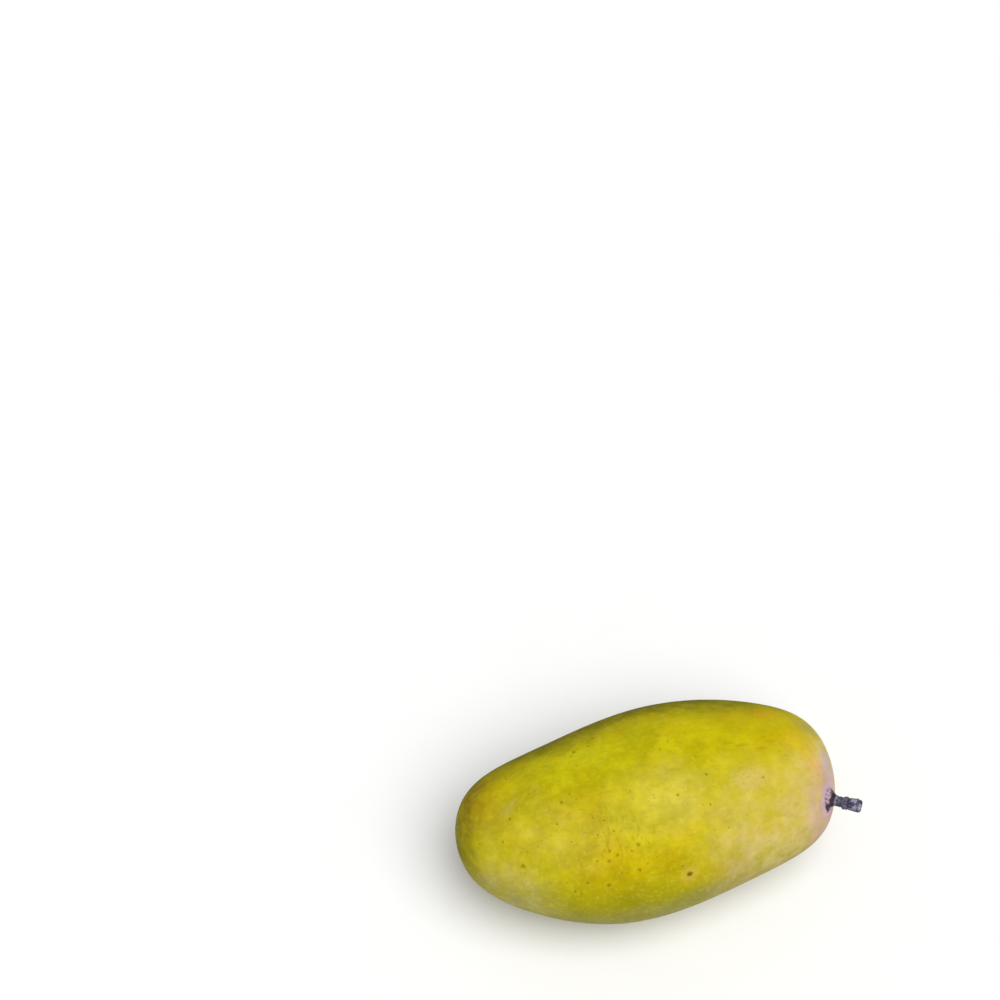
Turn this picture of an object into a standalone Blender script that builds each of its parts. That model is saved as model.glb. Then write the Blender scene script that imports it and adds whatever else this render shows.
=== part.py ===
"""Ripe yellow mango lying on its broad side, with the short stub of its stalk.

Metres, +Z up. The fruit's long axis runs along X, with the stalk end towards +X. The origin is
under the middle of the whole object, on the surface that it lies on.
"""

from math import atan2, cos, exp, pi, radians, sin

import bmesh
import bpy
from mathutils import Matrix, Vector

# Driving dimensions of the fruit
LENGTH = 0.130
WIDTH = 0.0698
THICKNESS = 0.0614

# The fruit against an ellipsoid, as powers of the station: -1 at the tip, 1 at the stalk end
FULLNESS = (0.013, -0.096, 0.082, 0.380)
BOW = (-0.039, 0.083, -0.019, -0.166)
SUBDIVISIONS = 5

# Flat spot that the fruit rests on, and how near a vertex may lie to it before it is moved onto it
FLAT_CUT = 0.0005
FLAT_SNAP = 0.00003

# Stalk: turn from +X and rise above level of its place on the fruit and of its heading; its hollow
STALK_PLACE = (radians(-23.3), radians(13))
STALK_HEADING = (radians(-42), radians(17))
HOLLOW_DEPTH = 0.0006
HOLLOW_RADIUS = 0.0060

# Socket and foot, a sliding fit apart
GAP = 0.0003
FOOT_RADIUS = 0.0023
FOOT_DEPTH = 0.0018
SOCKET_SIDES = 32

# Stalk profile above the skin: distance along it and radius there, from collar to broken end
STALK_PROFILE = (
    (0.0006, 0.0030),
    (0.0010, 0.0025),
    (0.0016, 0.0021),
    (0.0022, 0.0018),
    (0.0030, 0.0017),
    (0.0038, 0.0017),
    (0.0044, 0.0016),
    (0.0051, 0.0019),
    (0.0058, 0.0021),
    (0.0064, 0.0020),
    (0.0069, 0.0018),
    (0.0076, 0.0021),
    (0.0086, 0.0021),
    (0.0105, 0.0021),
    (0.0109, 0.0017),
)
STALK_LIFT = 0.0003
STALK_ROUNDNESS = 8
KNOBS_ROUND = 3
KNOB_HEIGHT = 0.08
KNOB_TWIST = 700.0

SKIN_COLOUR = (0.58, 0.47, 0.03, 1.0)
STALK_COLOUR = (0.07, 0.065, 0.075, 1.0)


def clear_scene():
    """Remove everything that the new file starts with."""
    for item in list(bpy.data.objects):
        bpy.data.objects.remove(item, do_unlink=True)


def new_collection(name):
    """Collection linked to the scene."""
    collection = bpy.data.collections.new(name)
    bpy.context.scene.collection.children.link(collection)
    return collection


def new_material(name, colour, roughness):
    """Plain Principled material."""
    material = bpy.data.materials.new(name)
    material.use_nodes = True
    shader = material.node_tree.nodes["Principled BSDF"]
    shader.inputs["Base Color"].default_value = colour
    shader.inputs["Roughness"].default_value = roughness
    shader.inputs["Metallic"].default_value = 0.0
    return material


def new_object(name, mesh, collection):
    """Smooth-shaded object for a mesh, with its sharp edges kept."""
    mesh.shade_smooth()
    mesh.set_sharp_from_angle(angle=radians(40))
    item = bpy.data.objects.new(name, mesh)
    collection.objects.link(item)
    return item


def powers(coefficients, station, first):
    """Sum of the coefficients times rising powers of the station."""
    return sum(c * station ** (first + i) for i, c in enumerate(coefficients))


def skin_point(direction):
    """Point of the fruit's skin for a direction from its middle, before the stalk's hollow."""
    station, side, height = direction
    fullness = 1.0 + powers(FULLNESS, station, 1)
    bow = WIDTH * (1.0 - station ** 2) * powers(BOW, station, 0)
    return Vector((
        LENGTH / 2 * station,
        WIDTH / 2 * side * fullness + bow,
        THICKNESS / 2 * height * fullness,
    ))


def pointing(turn, rise):
    """Direction at a turn about +Z from +X and a rise above level."""
    return Vector((cos(turn) * cos(rise), sin(turn) * cos(rise), sin(rise)))


def stalk_frame():
    """Matrix of the stalk: origin on the skin at the bottom of its hollow, Z out along it."""
    outward = pointing(*STALK_HEADING)
    place = skin_point(pointing(*STALK_PLACE))
    turn = outward.to_track_quat("Z", "Y").to_matrix().to_4x4()
    return Matrix.Translation(place - outward * HOLLOW_DEPTH) @ turn


def sink_round_stalk(point):
    """Lower a point of the skin into the shallow hollow round the stalk."""
    frame = stalk_frame()
    outward = frame.to_3x3() @ Vector((0.0, 0.0, 1.0))
    centre = frame.translation + outward * HOLLOW_DEPTH
    reach = (point - centre).length / HOLLOW_RADIUS
    return point - outward * HOLLOW_DEPTH * exp(-reach ** 2)


def make_socket_cutter(collection):
    """Cylinder that cuts the socket for the stalk's foot, open towards the outside."""
    depth = FOOT_DEPTH + GAP
    proud = HOLLOW_DEPTH * 2
    half_side = Matrix.Rotation(pi / SOCKET_SIDES, 4, "Z")
    mesh = bpy.data.meshes.new("socket_cutter")
    tool = bmesh.new()
    bmesh.ops.create_cone(
        tool,
        cap_ends=True,
        segments=SOCKET_SIDES,
        radius1=FOOT_RADIUS + GAP,
        radius2=FOOT_RADIUS + GAP,
        depth=depth + proud,
        matrix=stalk_frame() @ Matrix.Translation((0.0, 0.0, (proud - depth) / 2)) @ half_side,
    )
    tool.to_mesh(mesh)
    tool.free()
    cutter = new_object("socket_cutter", mesh, collection)
    cutter.hide_render = True
    cutter.display_type = "WIRE"
    return cutter


def make_fruit(collection, cutter):
    """Fruit: a sphere drawn out to the mango's shape, with its flat spot and the stalk's socket."""
    mesh = bpy.data.meshes.new("fruit")
    skin = bmesh.new()
    bmesh.ops.create_icosphere(skin, subdivisions=SUBDIVISIONS, radius=1.0)
    for vertex in skin.verts:
        vertex.co = sink_round_stalk(skin_point(vertex.co.normalized()))
    cut = bmesh.ops.bisect_plane(
        skin,
        geom=skin.verts[:] + skin.edges[:] + skin.faces[:],
        plane_co=(0.0, 0.0, FLAT_CUT - THICKNESS / 2),
        plane_no=(0.0, 0.0, -1.0),
        dist=FLAT_SNAP,
        use_snap_center=True,
        clear_outer=True,
    )
    rim = [edge for edge in cut["geom_cut"] if isinstance(edge, bmesh.types.BMEdge)]
    bmesh.ops.contextual_create(skin, geom=rim)
    bmesh.ops.recalc_face_normals(skin, faces=skin.faces[:])
    skin.to_mesh(mesh)
    skin.free()
    fruit = new_object("fruit", mesh, collection)
    fruit.data.materials.append(new_material("mango_skin", SKIN_COLOUR, 0.42))
    socket = fruit.modifiers.new("socket", "BOOLEAN")
    socket.operation = "DIFFERENCE"
    socket.solver = "EXACT"
    socket.object = cutter
    return fruit


def stalk_curve():
    """Curve of the stalk in its own frame, thick and thin as its profile says."""
    foot = ((-FOOT_DEPTH, FOOT_RADIUS), (GAP, FOOT_RADIUS))
    stations = foot + STALK_PROFILE
    tip = stations[-1][0]
    data = bpy.data.curves.new("stalk_line", "CURVE")
    data.dimensions = "3D"
    data.bevel_depth = 1.0
    data.bevel_resolution = STALK_ROUNDNESS
    data.use_fill_caps = True
    line = data.splines.new("POLY")
    line.points.add(len(stations) - 1)
    for knot, (along, radius) in zip(line.points, stations):
        lift = STALK_LIFT * (max(along, 0.0) / tip) ** 2
        knot.co = (0.0, lift, along, 1.0)
        knot.radius = radius
    return data


def knobbly(point):
    """Swell a point of the stalk's mesh into the low knobs of its knuckles."""
    neck = STALK_PROFILE[4][0]
    tip = STALK_PROFILE[-1][0]
    rise = min(max((point.z - neck) / (tip - neck), 0.0), 1.0)
    angle = atan2(point.y, point.x)
    swell = 1.0 + KNOB_HEIGHT * rise * sin(KNOBS_ROUND * angle + KNOB_TWIST * point.z)
    return Vector((point.x * swell, point.y * swell, point.z))


def make_stalk(collection):
    """Stalk: the curve made a closed mesh, set in its socket."""
    curve = bpy.data.objects.new("stalk_line", stalk_curve())
    collection.objects.link(curve)
    bpy.context.view_layer.update()
    evaluated = curve.evaluated_get(bpy.context.evaluated_depsgraph_get())
    mesh = bpy.data.meshes.new_from_object(evaluated)
    bpy.data.objects.remove(curve, do_unlink=True)
    bark = bmesh.new()
    bark.from_mesh(mesh)
    bmesh.ops.remove_doubles(bark, verts=bark.verts[:], dist=1e-6)
    for vertex in bark.verts:
        vertex.co = stalk_frame() @ knobbly(vertex.co)
    bmesh.ops.recalc_face_normals(bark, faces=bark.faces[:])
    bark.to_mesh(mesh)
    bark.free()
    mesh.name = "stalk"
    stalk = new_object("stalk", mesh, collection)
    stalk.data.materials.append(new_material("stalk_bark", STALK_COLOUR, 0.75))
    return stalk


def set_down(pieces, cutters):
    """Move all to the frame of the object: the origin under the middle of the pieces' box."""
    corners = [vertex.co for piece in pieces for vertex in piece.data.vertices]
    low = Vector(min(corner[axis] for corner in corners) for axis in range(3))
    high = Vector(max(corner[axis] for corner in corners) for axis in range(3))
    middle = (low + high) / 2
    shift = Matrix.Translation((-middle.x, -middle.y, -low.z))
    for item in pieces + cutters:
        item.data.transform(shift)


def main():
    clear_scene()
    pieces = new_collection("mango")
    cutters = new_collection("cutters")
    cutter = make_socket_cutter(cutters)
    fruit = make_fruit(pieces, cutter)
    stalk = make_stalk(pieces)
    set_down([fruit, stalk], [cutter])


main()
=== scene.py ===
"""Looks of a ripe yellow mango: its waxy speckled skin, the woody stub of its stalk, and the studio.

Metres, +Z up, in the frame of the solid model. The fruit lies along X with its stalk end at +X.
Materials measure in millimetres.
"""

from math import atan2, cos, exp, pi, radians, sin, tan

import bmesh
import bpy
from mathutils import Matrix, Vector, noise


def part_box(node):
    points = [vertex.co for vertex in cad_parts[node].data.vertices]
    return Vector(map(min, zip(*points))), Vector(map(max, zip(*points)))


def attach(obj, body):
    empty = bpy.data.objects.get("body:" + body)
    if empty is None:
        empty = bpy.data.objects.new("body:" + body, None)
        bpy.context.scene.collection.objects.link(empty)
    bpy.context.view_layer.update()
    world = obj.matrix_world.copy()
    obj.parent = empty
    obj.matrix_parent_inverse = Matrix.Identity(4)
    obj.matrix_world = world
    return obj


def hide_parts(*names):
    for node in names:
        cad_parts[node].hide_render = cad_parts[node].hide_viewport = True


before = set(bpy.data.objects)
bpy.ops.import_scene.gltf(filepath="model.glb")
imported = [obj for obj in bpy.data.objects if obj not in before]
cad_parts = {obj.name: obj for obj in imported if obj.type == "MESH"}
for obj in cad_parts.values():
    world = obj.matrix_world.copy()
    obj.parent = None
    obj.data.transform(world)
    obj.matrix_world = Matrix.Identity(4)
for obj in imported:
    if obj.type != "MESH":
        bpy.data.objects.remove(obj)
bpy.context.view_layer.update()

MM = 0.001
fruit_low, fruit_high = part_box("fruit")

# Fruit's form, in shares of its length, and against an ellipsoid as powers of the station along it
LENGTH = fruit_high.x - fruit_low.x
WIDTH = LENGTH * 0.698 / 1.30
THICKNESS = LENGTH * 0.614 / 1.30
FULLNESS = (0.013, -0.096, 0.082, 0.380)
BOW = (-0.039, 0.083, -0.019, -0.166)
SKIN_CELLS = 124

# Stalk: turn from +X and rise above level of its place on the fruit and of its heading; its hollow
STALK_PLACE = (radians(-23.3), radians(13))
STALK_HEADING = (radians(-42), radians(17))
HOLLOW_DEPTH = 0.6 * MM
HOLLOW_RADIUS = 6.0 * MM

# Relief of the skin: its low swells, its fine grain, and the folds round the stalk
SWELL_SIZE = 24 * MM
SWELL_HEIGHT = 0.25 * MM
GRAIN_SIZE = 3.5 * MM
GRAIN_HEIGHT = 0.02 * MM
FOLDS = 7
FOLD_HEIGHT = 0.12 * MM
FOLD_REACH = 5.0 * MM
FOLD_BREADTH = 2.0 * MM

# Stalk profile: distance along it and radius there, in millimetres
STALK_PROFILE = (
    (-1.6, 3.9),
    (-0.4, 3.6),
    (0.1, 3.4),
    (0.6, 2.9),
    (1.1, 2.4),
    (1.7, 2.0),
    (2.2, 1.7),
    (2.7, 1.8),
    (3.1, 1.65),
    (3.8, 1.7),
    (4.4, 1.6),
    (5.1, 1.85),
    (5.8, 2.05),
    (6.4, 2.0),
    (6.9, 1.8),
    (7.6, 2.05),
    (8.6, 2.1),
    (9.8, 2.05),
    (10.5, 2.1),
    (10.9, 1.8),
)

# Lift of the stalk's end, and the fineness of its mesh
STALK_LIFT = 0.3
STALK_STEPS = 150
STALK_SIDES = 96

# Rings, bud scars and a pit in the bark: distance along it, and the scars' and pit's turn round it
RINGS = (3.9, 5.3, 6.3, 9.4)
RING_HEIGHT = 0.10
RING_BREADTH = 0.16
SCARS = ((5.8, 0.9), (5.9, 4.4), (5.6, 3.3), (8.4, 5.4), (9.6, 0.6))
SCAR_HEIGHT = 0.28
PIT = (9.6, 2.3)
PIT_DEPTH = 0.45

# Camera: its direction, and where it sees the fruit's middle, in fruit lengths right, up and away
CAMERA_AZIMUTH = radians(-14.5)
CAMERA_ELEVATION = radians(52)
CAMERA_FIELD = radians(30)
FRUIT_IN_VIEW = Vector((0.3764, -0.7867, -4.8257))
SENSOR_WIDTH = 36.0
PICTURE = 1000

# Studio
KEY_AZIMUTH = radians(20)
KEY_ELEVATION = radians(65)
KEY_SPREAD = radians(55)
KEY_STRENGTH = 2.85
HORIZON_LIGHT = 0.95
SKY_LIGHT = 0.3
SKY_HEIGHT = 0.2
FLOOR_HALF_SIZE = 60.0
PAPER = ((0.88, 0.88, 0.88, 1.0), (0.91, 0.91, 0.91, 1.0))


def tone(red, green, blue):
    """Linear colour for display values out of 255."""
    def linear(value):
        share = value / 255
        return share / 12.92 if share <= 0.04045 else ((share + 0.055) / 1.055) ** 2.4
    return (linear(red), linear(green), linear(blue), 1.0)


# Colours of the skin; some of them also serve as painted shade, painted shadow, painted sheen and
# painted highlight
YELLOW = tone(200, 183, 5)
GOLD = tone(190, 164, 2)
# Lemon: the skin's clouds, and a painted highlight on the shoulder
LEMON = tone(200, 195, 12)
# Pale yellow: lenticels and fine flush, and painted highlight in the middle and low right
PALE = tone(214, 204, 70)
# Olive: the skin's mottle, dark pores and brushing, and painted shade on the flanks and edges
OLIVE = tone(120, 116, 4)
MOSS = tone(92, 78, 2)
# Dark green painted shadow at the rim between the back and the tip
SHADOW_GREEN = tone(66, 68, 2)
AMBER = tone(150, 112, 4)
# Pale beige: the skin's waxy bloom and scuff, and painted sheen in the middle and to the right
BLOOM_AND_SHEEN = tone(222, 188, 160)
# Grey-beige and grey-green: painted shade and painted reflection of the floor on the low rim; the
# grey-green also paints shade on the far edge
SHADE_AND_REFLECTION_GREY = tone(180, 170, 120)
SHADE = tone(136, 138, 94)
ORANGE = tone(214, 160, 2)
PEACH = tone(220, 176, 90)
ROSE = tone(188, 148, 156)
LILAC = tone(192, 168, 178)
BROWN = tone(96, 62, 14)
# Dark maroon: dried sap, and painted shade in the hollow and creases round the stalk
SAP_AND_SHADE = tone(40, 16, 28)

# Colours of the stalk
SLATE = tone(92, 95, 116)
ASH = tone(156, 154, 180)
PITCH = tone(46, 44, 60)
NAVY = tone(30, 28, 66)
MAUVE = tone(176, 150, 164)
LIP = tone(176, 168, 184)


def powers(coefficients, station, first):
    """Sum of the coefficients times rising powers of the station."""
    return sum(c * station ** (first + i) for i, c in enumerate(coefficients))


def form_point(direction):
    """Point of the plain form for a direction from its middle, the middle being the origin."""
    station, side, height = direction
    fullness = 1.0 + powers(FULLNESS, station, 1)
    bow = WIDTH * (1.0 - station ** 2) * powers(BOW, station, 0)
    return Vector((
        LENGTH / 2 * station,
        WIDTH / 2 * side * fullness + bow,
        THICKNESS / 2 * height * fullness,
    ))


def middle_of_form():
    """Place of the form's middle that sets it in the box of the solid fruit."""
    around = [2 * pi * i / 720 for i in range(720)]
    sides = [form_point((cos(a), sin(a), 0.0)).y for a in around]
    heights = [form_point((cos(a), 0.0, sin(a))).z for a in around]
    return Vector((
        (fruit_low.x + fruit_high.x) / 2,
        (fruit_low.y + fruit_high.y - min(sides) - max(sides)) / 2,
        fruit_high.z - max(heights),
    ))


MIDDLE = middle_of_form()


def pointing(turn, rise):
    """Direction at a turn about +Z from +X and a rise above level."""
    return Vector((cos(turn) * cos(rise), sin(turn) * cos(rise), sin(rise)))


def stalk_matrix():
    """Matrix of the stalk: origin on the skin at the bottom of its hollow, Z out along it."""
    outward = pointing(*STALK_HEADING)
    place = form_point(pointing(*STALK_PLACE)) + MIDDLE
    turn = outward.to_track_quat("Z", "Y").to_matrix().to_4x4()
    return Matrix.Translation(place - outward * HOLLOW_DEPTH) @ turn


STALK = stalk_matrix()
STALK_OUTWARD = STALK.to_3x3() @ Vector((0.0, 0.0, 1.0))
STALK_FOOT = STALK.translation + STALK_OUTWARD * HOLLOW_DEPTH


def new_piece(name, tool):
    """Smooth-shaded object for a finished bmesh."""
    mesh = bpy.data.meshes.new(name)
    tool.to_mesh(mesh)
    tool.free()
    mesh.shade_smooth()
    piece = bpy.data.objects.new(name, mesh)
    bpy.context.scene.collection.objects.link(piece)
    return piece


# Skin's mesh

def skin_point(direction):
    """Point of the finished skin for a direction from the fruit's middle."""
    point = form_point(direction) + MIDDLE
    outward = (point - MIDDLE).normalized()
    swell = noise.noise(point / SWELL_SIZE) * SWELL_HEIGHT
    grain = noise.noise(point / GRAIN_SIZE) * GRAIN_HEIGHT
    reach = (point - STALK_FOOT).length
    sunk = exp(-(reach / HOLLOW_RADIUS) ** 2)
    spread = STALK.inverted() @ point
    folds = cos(FOLDS * atan2(spread.y, spread.x)) * FOLD_HEIGHT
    folds *= exp(-((reach - FOLD_REACH) / FOLD_BREADTH) ** 2)
    point += outward * (swell * (1.0 - sunk) + grain + folds)
    point -= STALK_OUTWARD * HOLLOW_DEPTH * sunk
    point.z = max(point.z, 0.0)
    return point


def make_skin():
    """Skin: the faces of a cube, finely divided, blown up to the fruit's form."""
    tool = bmesh.new()
    bmesh.ops.create_cube(tool, size=2.0)
    bmesh.ops.subdivide_edges(tool, edges=tool.edges[:], cuts=SKIN_CELLS - 1, use_grid_fill=True)
    for vertex in tool.verts:
        even = Vector(tan(value * pi / 4) for value in vertex.co)
        vertex.co = skin_point(even.normalized())
    return new_piece("fruit_skin", tool)


# Stalk's mesh

def stalk_radius(along):
    """Radius of the stalk's profile at a distance along it, eased between its points."""
    for (near, first), (far, second) in zip(STALK_PROFILE, STALK_PROFILE[1:]):
        if along <= far:
            share = (along - near) / (far - near)
            eased = share * share * (3 - 2 * share)
            return first + (second - first) * eased
    return STALK_PROFILE[-1][1]


def lump(along, angle, place, length, breadth):
    """Height from 0 to 1 of a round lump at a place on the bark: its distance along and turn."""
    return exp(-((along - place[0]) / length) ** 2 - ((angle - place[1]) / breadth) ** 2)


def bark_radius(along, angle):
    """Radius of the stalk with its flutes, knuckle rings, bud scars and rough bark."""
    radius = stalk_radius(along)
    tip = STALK_PROFILE[-1][0]
    rise = min(max((along - 2.0) / (tip - 2.0), 0.0), 1.0)
    collar = exp(-((along - 0.4) / 0.9) ** 2)
    lobes = 0.22 * collar * cos(5 * angle + 0.6) + 0.12 * collar * cos(9 * angle + 1.7)
    flutes = 0.07 * cos(7 * angle + 0.5 * along) + 0.05 * cos(11 * angle - 0.8 * along)
    knobs = 0.14 * rise * sin(3 * angle + 0.7 * along)
    rings = sum(RING_HEIGHT * exp(-((along - at) / RING_BREADTH) ** 2) for at in RINGS)
    scars = sum(SCAR_HEIGHT * lump(along, angle, scar, 0.5, 0.38) for scar in SCARS)
    pit = PIT_DEPTH * lump(along, angle, PIT, 0.8, 0.35)
    spot = Vector((cos(angle) * radius, sin(angle) * radius, along))
    bark = 0.12 * noise.noise(spot / 0.7) + 0.05 * noise.noise(spot / 0.25)
    rough = min(max((along + 0.2) / 1.2, 0.3), 1.0)
    return radius + lobes + (flutes + bark) * rough + knobs + rings + scars - pit


def stalk_vertex(along, angle, shrink):
    """Point of the stalk in its own frame. shrink draws a ring in over the foot or the broken end."""
    tip = STALK_PROFILE[-1][0]
    radius = bark_radius(along, angle) * shrink
    lift = STALK_LIFT * (max(along, 0.0) / tip) ** 2
    spot = Vector((cos(angle), sin(angle), 0.0)) * radius
    torn = 0.0
    if shrink < 1.0 and along == tip:
        torn = 0.3 * noise.noise(spot / 0.55) + 0.14 * noise.noise(spot / 0.2) + 0.2 * (1.0 - shrink)
    return Vector((spot.x, spot.y + lift, along + torn)) * MM


def make_stalk():
    """Stalk: rings along its line, closed by ever smaller rings over the foot and the broken end."""
    low, tip = STALK_PROFILE[0][0], STALK_PROFILE[-1][0]
    levels = [(low, i / 8) for i in range(1, 8)]
    levels += [(low + (tip - low) * i / STALK_STEPS, 1.0) for i in range(STALK_STEPS)]
    levels += [(tip, 1.0 - i / 12) for i in range(12)]
    turns = [2 * pi * i / STALK_SIDES for i in range(STALK_SIDES)]
    tool = bmesh.new()
    rings = [
        [tool.verts.new(stalk_vertex(along, turn, shrink)) for turn in turns]
        for along, shrink in levels
    ]
    for ring, above in zip(rings, rings[1:]):
        for i in range(STALK_SIDES):
            j = (i + 1) % STALK_SIDES
            tool.faces.new((ring[i], ring[j], above[j], above[i]))
    tool.faces.new(reversed(rings[0]))
    tool.faces.new(rings[-1])
    piece = new_piece("stalk_stub", tool)
    piece.matrix_world = STALK
    return piece


# Camera

def camera_turn():
    """The camera's axes as columns: right, up and backwards."""
    back = pointing(CAMERA_AZIMUTH - pi / 2, CAMERA_ELEVATION)
    right = pointing(CAMERA_AZIMUTH, 0.0)
    return Matrix((right, back.cross(right), back)).transposed()


def make_camera():
    """Camera at the photograph's viewing angle."""
    data = bpy.data.cameras.new("camera")
    data.sensor_width = SENSOR_WIDTH
    data.lens = SENSOR_WIDTH / 2 / tan(CAMERA_FIELD / 2)
    data.clip_start = 0.01
    data.clip_end = 20.0
    camera = bpy.data.objects.new("camera", data)
    turn = camera_turn()
    place = MIDDLE - turn @ (FRUIT_IN_VIEW * LENGTH)
    camera.matrix_world = Matrix.Translation(place) @ turn.to_4x4()
    bpy.context.scene.collection.objects.link(camera)
    bpy.context.scene.camera = camera
    return camera


def skin_under(camera, skin, pixel):
    """Point of the skin, in millimetres, that the camera sees at a pixel of the photograph."""
    half = PICTURE / 2
    spread = tan(CAMERA_FIELD / 2)
    across = (pixel[0] - half) / half * spread
    up = (half - pixel[1]) / half * spread
    ray = camera.matrix_world.to_3x3() @ Vector((across, up, -1.0))
    hit, point = skin.ray_cast(camera.matrix_world.translation, ray.normalized())[:2]
    if not hit:
        raise ValueError(f"the camera sees no skin at {pixel}")
    return point / MM


# Materials

class Paint:
    """Node tree of one material. Each method adds a node and returns its output socket."""

    def __init__(self, name):
        self.material = bpy.data.materials.new(name)
        self.material.use_nodes = True
        self.nodes = self.material.node_tree.nodes
        self.links = self.material.node_tree.links
        self.shader = self.nodes["Principled BSDF"]

    def feed(self, socket, value):
        """Link a socket to an output, or set its plain value."""
        if isinstance(value, bpy.types.NodeSocket):
            self.links.new(value, socket)
        else:
            socket.default_value = value

    def shade(self, name, value):
        """Link or set one of the shader's own sockets."""
        self.feed(self.shader.inputs[name], value)

    def math(self, operation, first, second=0.0):
        """Result of a sum or function of numbers."""
        node = self.nodes.new("ShaderNodeMath")
        node.operation = operation
        self.feed(node.inputs[0], first)
        self.feed(node.inputs[1], second)
        return node.outputs[0]

    def vector(self, operation, first, second=(0.0, 0.0, 0.0)):
        """Result of a sum or function of vectors."""
        node = self.nodes.new("ShaderNodeVectorMath")
        node.operation = operation
        self.feed(node.inputs[0], first)
        self.feed(node.inputs[1], second)
        return node.outputs["Value" if operation in ("LENGTH", "DOT_PRODUCT") else "Vector"]

    def place(self):
        """Position on the object, in millimetres."""
        node = self.nodes.new("ShaderNodeTexCoord")
        return self.vector("MULTIPLY", node.outputs["Object"], [1 / MM] * 3)

    def noise(self, where, size, detail=2.0, output="Fac"):
        """Soft noise from 0 to 1, whose lumps measure about size millimetres."""
        node = self.nodes.new("ShaderNodeTexNoise")
        self.feed(node.inputs["Vector"], where)
        node.inputs["Scale"].default_value = 1 / size
        node.inputs["Detail"].default_value = detail
        return node.outputs[output]

    def ramp(self, value, start, end, low=0.0, high=1.0):
        """Smooth step from low at start to high at end."""
        node = self.nodes.new("ShaderNodeMapRange")
        node.interpolation_type = "SMOOTHSTEP"
        self.feed(node.inputs["Value"], value)
        node.inputs["From Min"].default_value = start
        node.inputs["From Max"].default_value = end
        node.inputs["To Min"].default_value = low
        node.inputs["To Max"].default_value = high
        return node.outputs["Result"]

    def mix(self, share, first, second):
        """Colour between two others."""
        node = self.nodes.new("ShaderNodeMix")
        node.data_type = "RGBA"
        self.feed(node.inputs["Factor"], share)
        self.feed(node.inputs[6], first)
        self.feed(node.inputs[7], second)
        return node.outputs[2]

    def times(self, *values):
        """Product of masks."""
        product = values[0]
        for value in values[1:]:
            product = self.math("MULTIPLY", product, value)
        return product

    def warped(self, where, size, amount):
        """Position shifted by noise, so that what is drawn with it has uneven edges."""
        shift = self.noise(where, size, output="Color")
        centred = self.vector("SUBTRACT", shift, (0.5, 0.5, 0.5))
        return self.vector("ADD", where, self.vector("MULTIPLY", centred, [2 * amount] * 3))

    def facing(self):
        """Direction that the surface faces on the object."""
        return self.nodes.new("ShaderNodeTexCoord").outputs["Normal"]

    def dots(self, where, size, radius, share):
        """Mask of scattered round dots. radius is in cell sizes, share is how many cells have a dot."""
        node = self.nodes.new("ShaderNodeTexVoronoi")
        self.feed(node.inputs["Vector"], where)
        node.inputs["Scale"].default_value = 1 / size
        chance = self.axis(node.outputs["Color"], "X")
        grown = self.math("MULTIPLY", self.ramp(chance, 1 - share, 1.0, 0.4, 1.0), radius)
        inside = self.math("DIVIDE", node.outputs["Distance"], grown)
        return self.times(self.ramp(inside, 1.3, 0.7), self.ramp(chance, 1 - share, 1.001 - share))

    def patch(self, where, centre, radii, edge=0.4):
        """Mask of an ellipsoid patch: 1 inside, 0 outside, with a soft edge."""
        away = self.vector("DIVIDE", self.vector("SUBTRACT", where, centre), radii)
        return self.ramp(self.vector("LENGTH", away), 1 + edge, 1 - edge)

    def run(self, where, start, end, radius, edge=0.4):
        """Mask of a straight run between two points, with a soft edge."""
        line = end - start
        beyond = self.vector("SUBTRACT", where, start)
        along = self.vector("DOT_PRODUCT", beyond, line / line.length_squared)
        share = self.math("MINIMUM", self.math("MAXIMUM", along, 0.0), 1.0)
        away = self.vector("SUBTRACT", beyond, self.vector("MULTIPLY", share, line))
        return self.ramp(self.vector("LENGTH", away), radius * (1 + edge), radius * (1 - edge))

    def axis(self, where, axis):
        """One part of a vector: X, Y or Z."""
        node = self.nodes.new("ShaderNodeSeparateXYZ")
        self.feed(node.inputs[0], where)
        return node.outputs[axis]

    def puckers(self, where, turn):
        """Mask of uneven ridges that run out from the stalk. turn is the angle round it."""
        uneven = self.math("MULTIPLY", self.noise(where, 1.2, 2), 9.0)
        ridges = self.math("ADD", self.math("MULTIPLY", turn, WRINKLES), uneven)
        return self.ramp(self.math("COSINE", ridges), 0.2, 1.0)

    def bump(self, height, depth, below=None):
        """Surface normal for a height from 0 to 1 that stands for depth millimetres."""
        node = self.nodes.new("ShaderNodeBump")
        node.inputs["Distance"].default_value = depth * MM
        self.feed(node.inputs["Height"], height)
        if below is not None:
            self.feed(node.inputs["Normal"], below)
        return node.outputs["Normal"]
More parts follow.
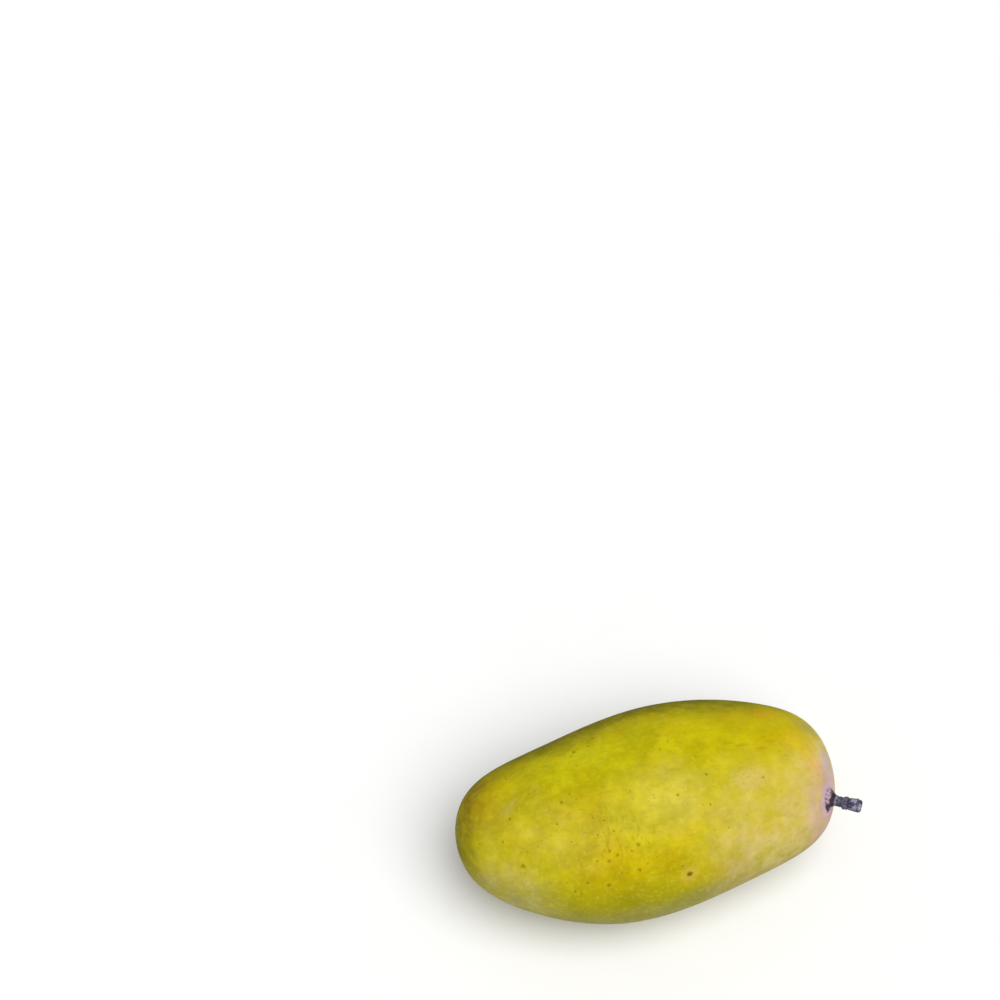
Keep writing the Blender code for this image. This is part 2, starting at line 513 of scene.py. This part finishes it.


# Broad zones of the skin, many of them painted shade, painted sheen and painted highlight: tint, pixel
# of the middle, radii along and across in millimetres, strength
ZONES = {
    "golden_belly": (GOLD, (628, 857), (21, 9), 0.6),
    # Lemon yellow on the shoulder, painted as a soft highlight
    "highlight_lemon_shoulder": (LEMON, (584, 758), (26, 10), 0.6),
    "golden_low_middle": (GOLD, (699, 866), (9, 8), 0.35),
    # Olive painted shade along the far edge and shoulder
    "shaded_olive_left_edge": (OLIVE, (558, 739), (18, 10), 0.78),
    "shaded_olive_left_shoulder": (OLIVE, (540, 752), (9, 6), 0.3),
    "shaded_olive_shoulder": (OLIVE, (628, 712), (16, 7), 0.72),
    "shaded_olive_top_edge": (OLIVE, (694, 701), (15, 9), 0.7),
    "shaded_olive_top_right": (OLIVE, (733, 706), (12, 6), 0.42),
    "amber_tip": (AMBER, (461, 808), (13, 12), 0.65),
    # Painted shadow along the tip's far edge, and painted shade on the tip's rim
    "contact_shadow_tip_edge": (SHADOW_GREEN, (478, 791), (15, 4), 0.32),
    "shaded_olive_tip": (OLIVE, (459, 838), (5, 15), 0.72),
    # Painted shade and painted reflection of the floor along the low rim
    "shaded_olive_low_edge": (OLIVE, (588, 896), (24, 6), 0.15),
    "shade_and_reflection_low_left": (SHADE_AND_REFLECTION_GREY, (510, 898), (17, 11), 0.5),
    "shade_low_edge": (SHADE, (610, 921), (34, 7), 0.36),
    "shade_low_right_edge": (SHADE, (698, 899), (22, 6), 0.3),
    # Painted sheen and painted highlight where the soft light falls on the skin
    "sheen_left": (BLOOM_AND_SHEEN, (511, 836), (16, 11), 0.05),
    "sheen_left_middle": (BLOOM_AND_SHEEN, (568, 838), (12, 11), 0.06),
    "sheen_middle": (BLOOM_AND_SHEEN, (674, 790), (9, 10), 0.1),
    "highlight_middle": (PALE, (648, 804), (13, 11), 0.4),
    "highlight_low_right": (PALE, (782, 850), (13, 7), 0.3),
    "sheen_right": (BLOOM_AND_SHEEN, (759, 812), (19, 15), 0.16),
    "sheen_low_middle": (BLOOM_AND_SHEEN, (738, 842), (8, 8), 0.1),
    "sheen_low_right": (BLOOM_AND_SHEEN, (765, 866), (17, 14), 0.24),
    "bloom_stalk_end": (BLOOM_AND_SHEEN, (829, 802), (16, 18), 0.4),
    "rosy_stalk_end": (ROSE, (828, 812), (7, 14), 0.75),
    "pale_left": (PALE, (533, 790), (2.6, 2.2), 0.4),
    "pale_far_left": (BLOOM_AND_SHEEN, (511, 808), (2.4, 2.0), 0.16),
    "orange_top": (ORANGE, (763, 714), (6, 3), 0.65),
    "golden_shoulder": (ORANGE, (796, 743), (6, 5), 0.3),
    "peach_edge": (PEACH, (814, 765), (4, 4), 0.5),
    "grey_right_edge": (LILAC, (830, 768), (3, 8), 0.6),
    # Painted shade on the far edge near the stalk end
    "shade_right_edge": (SHADE, (806, 727), (6, 4), 0.35),
}
ZONE_EDGE = 0.7

# Ways that the skin faces where painted shade darkens it: down in front, and down and back at the tip
DOWN_IN_FRONT = (0.0, -0.8, -0.6)
DOWN_AT_BACK = (0.154, 0.596, -0.788)
BACK_AT_TIP = (-0.707, 0.707, 0.0)

# Small marks, in millimetres: specks and their radius, streaks along the fruit and their half length
SPECKS = {
    (561.5, 802.5): 0.5, (557, 824): 0.4, (571, 842): 0.35, (604, 821): 0.35, (614, 831): 0.4,
    (598, 835): 0.35, (638.6, 844.6): 0.6, (632, 851): 0.4, (609.5, 851): 0.5, (618, 855): 0.55,
    (609.5, 861): 0.6, (597, 861): 0.4, (609, 885.5): 0.7, (588, 883): 0.5, (575, 891): 0.5,
    (581, 893.5): 0.45, (523.5, 866): 0.8, (503, 842): 0.4, (510, 819): 0.4, (574, 752): 0.6,
    (571, 756): 0.4, (588, 746): 0.45, (706, 774): 0.5, (683, 866): 0.45, (640, 870): 0.5,
}
STREAKS = {
    (729, 743): 2.2, (742, 745): 3.4, (770, 741): 3.6, (762, 748): 3.0, (700, 712): 2.6, (730, 706): 3.0,
}

# Brown spot, scuff, brushed area, and dark runs beside the stalk with their radius in millimetres: the
# run below the stalk is dried sap, the run above it painted shade
SPOT = (690, 874)
SCUFF = (750, 779)
BRUSHED = (613, 836)
SAP_AND_SHADE_RUNS = (((827.0, 804.8), (828.3, 809.0), 1.3), ((831.5, 791), (832.5, 794), 0.6))

# Specular level of the skin, and number of wrinkles round the stalk
GLOSS = 0.035
WRINKLES = 15

# Bark: patches and the foot's dried sap, by place and radii in millimetres, and its dark creases. The
# patches on the last knuckle are painted highlight and painted shade.
BARK_AND_LIGHT_PATCHES = (
    # The first four, on the last knuckle: painted highlight along its top (pale), painted shade on its
    # side and underside (navy, black)
    ((0.2, 2.2, 8.9), (1.0, 0.8, 1.0), ASH),
    ((-1.4, 1.4, 9.7), (0.9, 0.8, 0.8), ASH),
    ((-0.9, 1.9, 8.7), (0.9, 0.6, 0.9), NAVY),
    ((-1.2, -1.5, 9.4), (0.9, 0.8, 1.3), PITCH),
    ((1.4, 1.5, 5.8), (0.9, 0.9, 0.8), PITCH),
    ((1.2, 1.3, 3.7), (0.7, 0.7, 0.5), PITCH),
    ((-1.6, -0.6, 3.4), (0.8, 0.8, 0.9), PITCH),
)
SAP_PATCHES = (((-2.7, -0.7, 0.3), (1.5, 1.7, 1.4)), ((2.0, 2.0, 0.9), (1.5, 1.4, 0.9)))
CREASES = (4.4, 6.9)


def ground_colour(paint, where, loose, facing, under):
    """Yellow with broad clouds and zones, some of them painted shade and painted highlight; olive
    painted shade on the far flank, partly greener skin there, and low in front; dark green painted
    shadow on the back towards the tip.
    """
    clouds = paint.noise(where, 15, 3)
    colour = paint.mix(paint.ramp(clouds, 0.35, 0.65, 0.0, 0.35), YELLOW, GOLD)
    colour = paint.mix(paint.ramp(clouds, 0.65, 0.35, 0.0, 0.3), colour, LEMON)
    # Olive on the far flank: painted shade, partly greener skin
    far_flank = paint.ramp(paint.axis(facing, "Y"), 0.3, 0.85)
    flank_patchiness = paint.ramp(paint.noise(where, 20, 2), 0.35, 0.6, 0.4, 0.72)
    colour = paint.mix(paint.times(far_flank, flank_patchiness), colour, OLIVE)
    # Olive low in front: painted shade on the lower front flank
    down = paint.vector("DOT_PRODUCT", facing, DOWN_IN_FRONT)
    colour = paint.mix(paint.times(paint.ramp(down, -0.1, 1.0), 0.78), colour, OLIVE)
    patchy = paint.ramp(paint.noise(where, 5, 4), 0.3, 0.7, 0.55, 1.45)
    # Zones: the skin's own tints, and painted shade, painted sheen and painted highlight
    for tint, pixel, (along, across), share in ZONES.values():
        mask = paint.patch(loose, under(pixel), (along, across, across), ZONE_EDGE)
        colour = paint.mix(paint.times(mask, patchy, share), colour, tint)
    # Dark green painted shadow where the skin turns down and back towards the tip
    below = paint.ramp(paint.vector("DOT_PRODUCT", facing, DOWN_AT_BACK), -0.28, 0.05)
    behind = paint.ramp(paint.vector("DOT_PRODUCT", facing, BACK_AT_TIP), 0.1, 0.5)
    return paint.mix(paint.times(below, behind, 0.5), colour, SHADOW_GREEN)


def mottled(paint, colour, where, loose, smoother, under):
    """Colour with mottle from centimetres down to tenths of a millimetre."""
    drifts = paint.ramp(paint.noise(paint.vector("ADD", where, (0, 25, 0)), 10, 1), 0.38, 0.62)
    colour = paint.mix(paint.times(drifts, smoother, 0.24), colour, OLIVE)
    mottle = paint.ramp(paint.noise(where, 2.8, 6), 0.36, 0.64)
    colour = paint.mix(paint.times(mottle, smoother, 0.16), colour, OLIVE)
    flushed = paint.ramp(paint.noise(paint.vector("ADD", where, (40, 0, 0)), 1.5, 6), 0.45, 0.8)
    colour = paint.mix(paint.times(flushed, smoother, 0.26), colour, PALE)
    brushed = paint.noise(paint.vector("MULTIPLY", where, (1.0, 0.3, 0.3)), 0.9, 3)
    brushing = paint.patch(loose, under(BRUSHED), (11, 9, 9), 0.7)
    colour = paint.mix(paint.times(paint.ramp(brushed, 0.5, 0.68), brushing, 0.3), colour, OLIVE)
    stretched = paint.vector("MULTIPLY", where, (0.15, 1.0, 1.0))
    streaked = paint.ramp(paint.noise(stretched, 0.9, 3), 0.52, 0.75)
    return paint.mix(paint.times(streaked, 0.16), colour, AMBER)


def pored(paint, colour, where, ragged, smoother, pores):
    """Colour with pale and dark lenticels and brown flecks scattered all over."""
    colour = paint.mix(paint.times(pores, 0.18), colour, PALE)
    dark_pores = paint.dots(paint.vector("ADD", where, (9, 5, 3)), 1.7, 0.2, 0.35)
    colour = paint.mix(paint.times(dark_pores, smoother, 0.45), colour, OLIVE)
    flecks = paint.dots(paint.vector("ADD", ragged, (31, 17, 5)), 5.0, 0.1, 0.3)
    return paint.mix(paint.times(flecks, 0.5), colour, BROWN)


def marked(paint, colour, where, ragged, under):
    """Colour with this fruit's own specks, streaks, brown spot and scuff."""
    for pixel, radius in SPECKS.items():
        speck = paint.patch(ragged, under(pixel), [radius] * 3, 0.5)
        colour = paint.mix(paint.times(speck, 0.5), colour, MOSS)
    for pixel, half in STREAKS.items():
        streak = paint.patch(ragged, under(pixel), (half, 0.6, 0.6), 0.7)
        colour = paint.mix(paint.times(streak, 0.3), colour, AMBER)
    spot = under(SPOT)
    halo = paint.patch(paint.warped(where, 1.5, 0.8), spot, (3.0, 3.0, 3.0), 0.5)
    colour = paint.mix(paint.times(halo, 0.25), colour, PEACH)
    core = paint.patch(ragged, spot, (1.0, 0.85, 0.85), 0.6)
    colour = paint.mix(paint.times(core, 0.85), colour, BROWN)
    scuffed = paint.patch(paint.warped(where, 2.0, 1.5), under(SCUFF), (5.5, 3.2, 3.2), 0.5)
    scratches = paint.ramp(paint.noise(where, 1.3, 3), 0.52, 0.7)
    colour = paint.mix(paint.times(scuffed, 0.16), colour, BLOOM_AND_SHEEN)
    return paint.mix(paint.times(scuffed, scratches, 0.35), colour, AMBER)


def skin_round_stalk(paint, where):
    """Distance from the stalk's foot, and mask of the wrinkles that run in to it."""
    foot = paint.vector("SUBTRACT", paint.warped(where, 2.0, 0.5), STALK_FOOT / MM)
    reach = paint.vector("LENGTH", foot)
    sideways = paint.vector("DOT_PRODUCT", foot, STALK.col[0].xyz)
    upwards = paint.vector("DOT_PRODUCT", foot, STALK.col[1].xyz)
    wrinkles = paint.puckers(where, paint.math("ARCTAN2", upwards, sideways))
    return reach, paint.times(paint.ramp(reach, 5.2, 3.4), wrinkles)


def stained(paint, colour, where, reach, wrinkles, under):
    """Colour with the lilac skin round the stalk, dark maroon in its wrinkle grooves and in a ring at
    the bottom of its hollow that is painted shade mixed with dried sap, a run of dried sap below the
    stalk and a run of painted shade above it.
    """
    colour = paint.mix(paint.ramp(reach, 7.5, 3.9, 0.0, 0.8), colour, LILAC)
    # Darker in the wrinkle grooves and in a ring at the bottom of the hollow: painted shade mixed with
    # dried sap
    colour = paint.mix(paint.times(wrinkles, 0.35), colour, SAP_AND_SHADE)
    colour = paint.mix(paint.ramp(reach, 4.2, 3.4, 0.0, 0.35), colour, SAP_AND_SHADE)
    for start, end, radius in SAP_AND_SHADE_RUNS:
        stain = paint.run(paint.warped(where, 1.0, 0.35), under(start), under(end), radius, 0.35)
        colour = paint.mix(paint.times(stain, 0.95), colour, SAP_AND_SHADE)
    return colour


def skin_material(under):
    """Waxy mango skin. under gives the point of the skin at a pixel of the photograph."""
    paint = Paint("mango_skin")
    where = paint.place()
    loose = paint.warped(where, 12, 3)
    ragged = paint.warped(where, 1.2, 0.5)
    facing = paint.warped(paint.facing(), 0.5, 0.12)
    smoother = paint.ramp(paint.axis(where, "X"), 5, 35, 1.0, 0.6)
    pores = paint.dots(where, 1.5, 0.2, 0.6)
    reach, wrinkles = skin_round_stalk(paint, where)

    colour = ground_colour(paint, where, loose, facing, under)
    colour = mottled(paint, colour, where, loose, smoother, under)
    colour = pored(paint, colour, where, ragged, smoother, pores)
    colour = marked(paint, colour, where, ragged, under)
    colour = stained(paint, colour, where, reach, wrinkles, under)
    paint.shade("Base Color", colour)

    # Satin, duller on the far flank and at the tip
    rough = paint.ramp(paint.noise(where, 3, 3), 0.3, 0.7, 0.44, 0.56)
    far_dulling = paint.ramp(paint.axis(facing, "Y"), 0.2, 0.8, 1.0, 1.6)
    tip_dulling = paint.ramp(paint.axis(facing, "X"), -0.5, -0.9, 1.0, 1.3)
    paint.shade("Roughness", paint.times(rough, far_dulling, tip_dulling))
    paint.shade("Specular IOR Level", GLOSS)
    paint.shade("Subsurface Weight", 0.1)
    paint.shade("Subsurface Radius", (1.0, 0.6, 0.15))
    paint.shade("Subsurface Scale", 3 * MM)

    # Fine peel, wrinkles and sunken pores
    peel = paint.bump(paint.noise(where, 1.3, 3), 0.06)
    folded = paint.bump(paint.times(wrinkles, -1.0), 0.12, peel)
    paint.shade("Normal", paint.bump(pores, 0.03, folded))
    return paint.material


def bark_colour(paint, where, ragged, grain, along):
    """Slate grey bark with dark creases between its knuckles and pale and dark patches, those on the
    last knuckle a painted highlight and painted shade.
    """
    colour = paint.mix(paint.ramp(paint.noise(grain, 0.5, 4), 0.36, 0.58), PITCH, SLATE)
    colour = paint.mix(paint.ramp(paint.noise(where, 1.0, 3), 0.5, 0.72, 0.0, 0.6), colour, ASH)
    for at in CREASES:
        crease = paint.ramp(paint.math("ABSOLUTE", paint.math("SUBTRACT", along, at)), 0.6, 0.15)
        colour = paint.mix(paint.times(crease, 0.6), colour, PITCH)
    # Patches, those on the last knuckle painted highlight and painted shade
    for spot, radii, tint in BARK_AND_LIGHT_PATCHES:
        colour = paint.mix(paint.times(paint.patch(ragged, spot, radii, 0.35), 0.85), colour, tint)
    return colour


def broken_end(paint, colour, where, ragged, along):
    """Colour with the dark broken end, which has pale wood towards one side."""
    end = paint.ramp(along, 10.3, 10.7)
    colour = paint.mix(paint.times(end, 0.9), colour, PITCH)
    pale_side = paint.patch(ragged, (-0.6, 0.7, 10.9), (1.1, 1.3, 1.0), 0.4)
    fibres = paint.ramp(paint.noise(where, 0.4, 3), 0.3, 0.6, 0.5, 1.0)
    return paint.mix(paint.times(end, pale_side, fibres), colour, ASH)


def stalk_foot(paint, colour, where, ragged, along):
    """Colour with the puckered lilac foot, blotched and ringed with dried sap, and a patchy pale lip."""
    turn = paint.math("ARCTAN2", paint.axis(ragged, "Y"), paint.axis(ragged, "X"))
    foot = paint.mix(paint.times(paint.puckers(where, turn), 0.6), MAUVE, SAP_AND_SHADE)
    foot = paint.mix(paint.ramp(paint.noise(where, 0.7, 3), 0.5, 0.75, 0.0, 0.5), foot, SAP_AND_SHADE)
    patchy = paint.ramp(paint.noise(where, 0.8, 2), 0.35, 0.6, 0.25, 0.8)
    colour = paint.mix(paint.times(paint.ramp(along, 3.0, 2.8), patchy), colour, LIP)
    colour = paint.mix(paint.ramp(along, 2.5, 2.2), colour, SAP_AND_SHADE)
    colour = paint.mix(paint.ramp(along, 1.3, 0.8), colour, foot)
    for spot, radii in SAP_PATCHES:
        colour = paint.mix(paint.times(paint.patch(ragged, spot, radii, 0.3), 0.95), colour, SAP_AND_SHADE)
    return colour


def stalk_material():
    """Dry bark: slate grey with bluish highlights, a puckered lilac foot and a dark broken end."""
    paint = Paint("stalk_bark")
    where = paint.place()
    ragged = paint.warped(where, 0.8, 0.4)
    grain = paint.vector("MULTIPLY", where, (1.0, 1.0, 0.25))
    along = paint.axis(ragged, "Z")
    colour = bark_colour(paint, where, ragged, grain, along)
    colour = broken_end(paint, colour, where, ragged, along)
    colour = stalk_foot(paint, colour, where, ragged, along)
    paint.shade("Base Color", colour)
    paint.shade("Roughness", 0.6)
    paint.shade("Specular IOR Level", 0.4)
    paint.shade("Normal", paint.bump(paint.noise(grain, 0.3, 4), 0.12))
    return paint.material


def floor_material():
    """Smooth white paper."""
    paint = Paint("floor_paper")
    fibre = paint.noise(paint.place(), 40, 3)
    paint.shade("Base Color", paint.mix(fibre, *PAPER))
    paint.shade("Roughness", 0.8)
    return paint.material


# Studio

def key_light():
    """Broad soft light from the front right and above."""
    heading = pointing(KEY_AZIMUTH - pi / 2, KEY_ELEVATION)
    data = bpy.data.lights.new("key", "SUN")
    data.angle = KEY_SPREAD
    data.energy = KEY_STRENGTH
    light = bpy.data.objects.new("key", data)
    light.rotation_euler = heading.to_track_quat("Z", "Y").to_euler()
    bpy.context.scene.collection.objects.link(light)


def surroundings():
    """Pale room: white at the horizon, dimmer overhead."""
    world = bpy.data.worlds.new("surroundings")
    world.use_nodes = True
    nodes, links = world.node_tree.nodes, world.node_tree.links
    split = nodes.new("ShaderNodeSeparateXYZ")
    links.new(nodes.new("ShaderNodeTexCoord").outputs["Generated"], split.inputs[0])
    fall = nodes.new("ShaderNodeMapRange")
    fall.interpolation_type = "SMOOTHSTEP"
    links.new(split.outputs["Z"], fall.inputs["Value"])
    fall.inputs["From Max"].default_value = SKY_HEIGHT
    fall.inputs["To Min"].default_value = HORIZON_LIGHT
    fall.inputs["To Max"].default_value = SKY_LIGHT
    links.new(fall.outputs["Result"], nodes["Background"].inputs["Strength"])
    nodes["Background"].inputs["Color"].default_value = (1.0, 1.0, 1.0, 1.0)
    bpy.context.scene.world = world


def make_studio():
    """Pale floor, pale surroundings and the soft light."""
    tool = bmesh.new()
    bmesh.ops.create_grid(tool, x_segments=1, y_segments=1, size=FLOOR_HALF_SIZE)
    floor = new_piece("floor", tool)
    floor.data.materials.append(floor_material())
    surroundings()
    key_light()


def main():
    """Build the scene and dress the part."""
    camera = make_camera()
    make_studio()
    skin = make_skin()
    bpy.context.view_layer.update()
    skin.data.materials.append(skin_material(lambda pixel: skin_under(camera, skin, pixel)))
    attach(skin, "root")
    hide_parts("fruit")
    stalk = make_stalk()
    stalk.data.materials.append(stalk_material())
    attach(stalk, "root")
    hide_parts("stalk")
    bpy.context.scene.view_settings.view_transform = "Standard"


main()
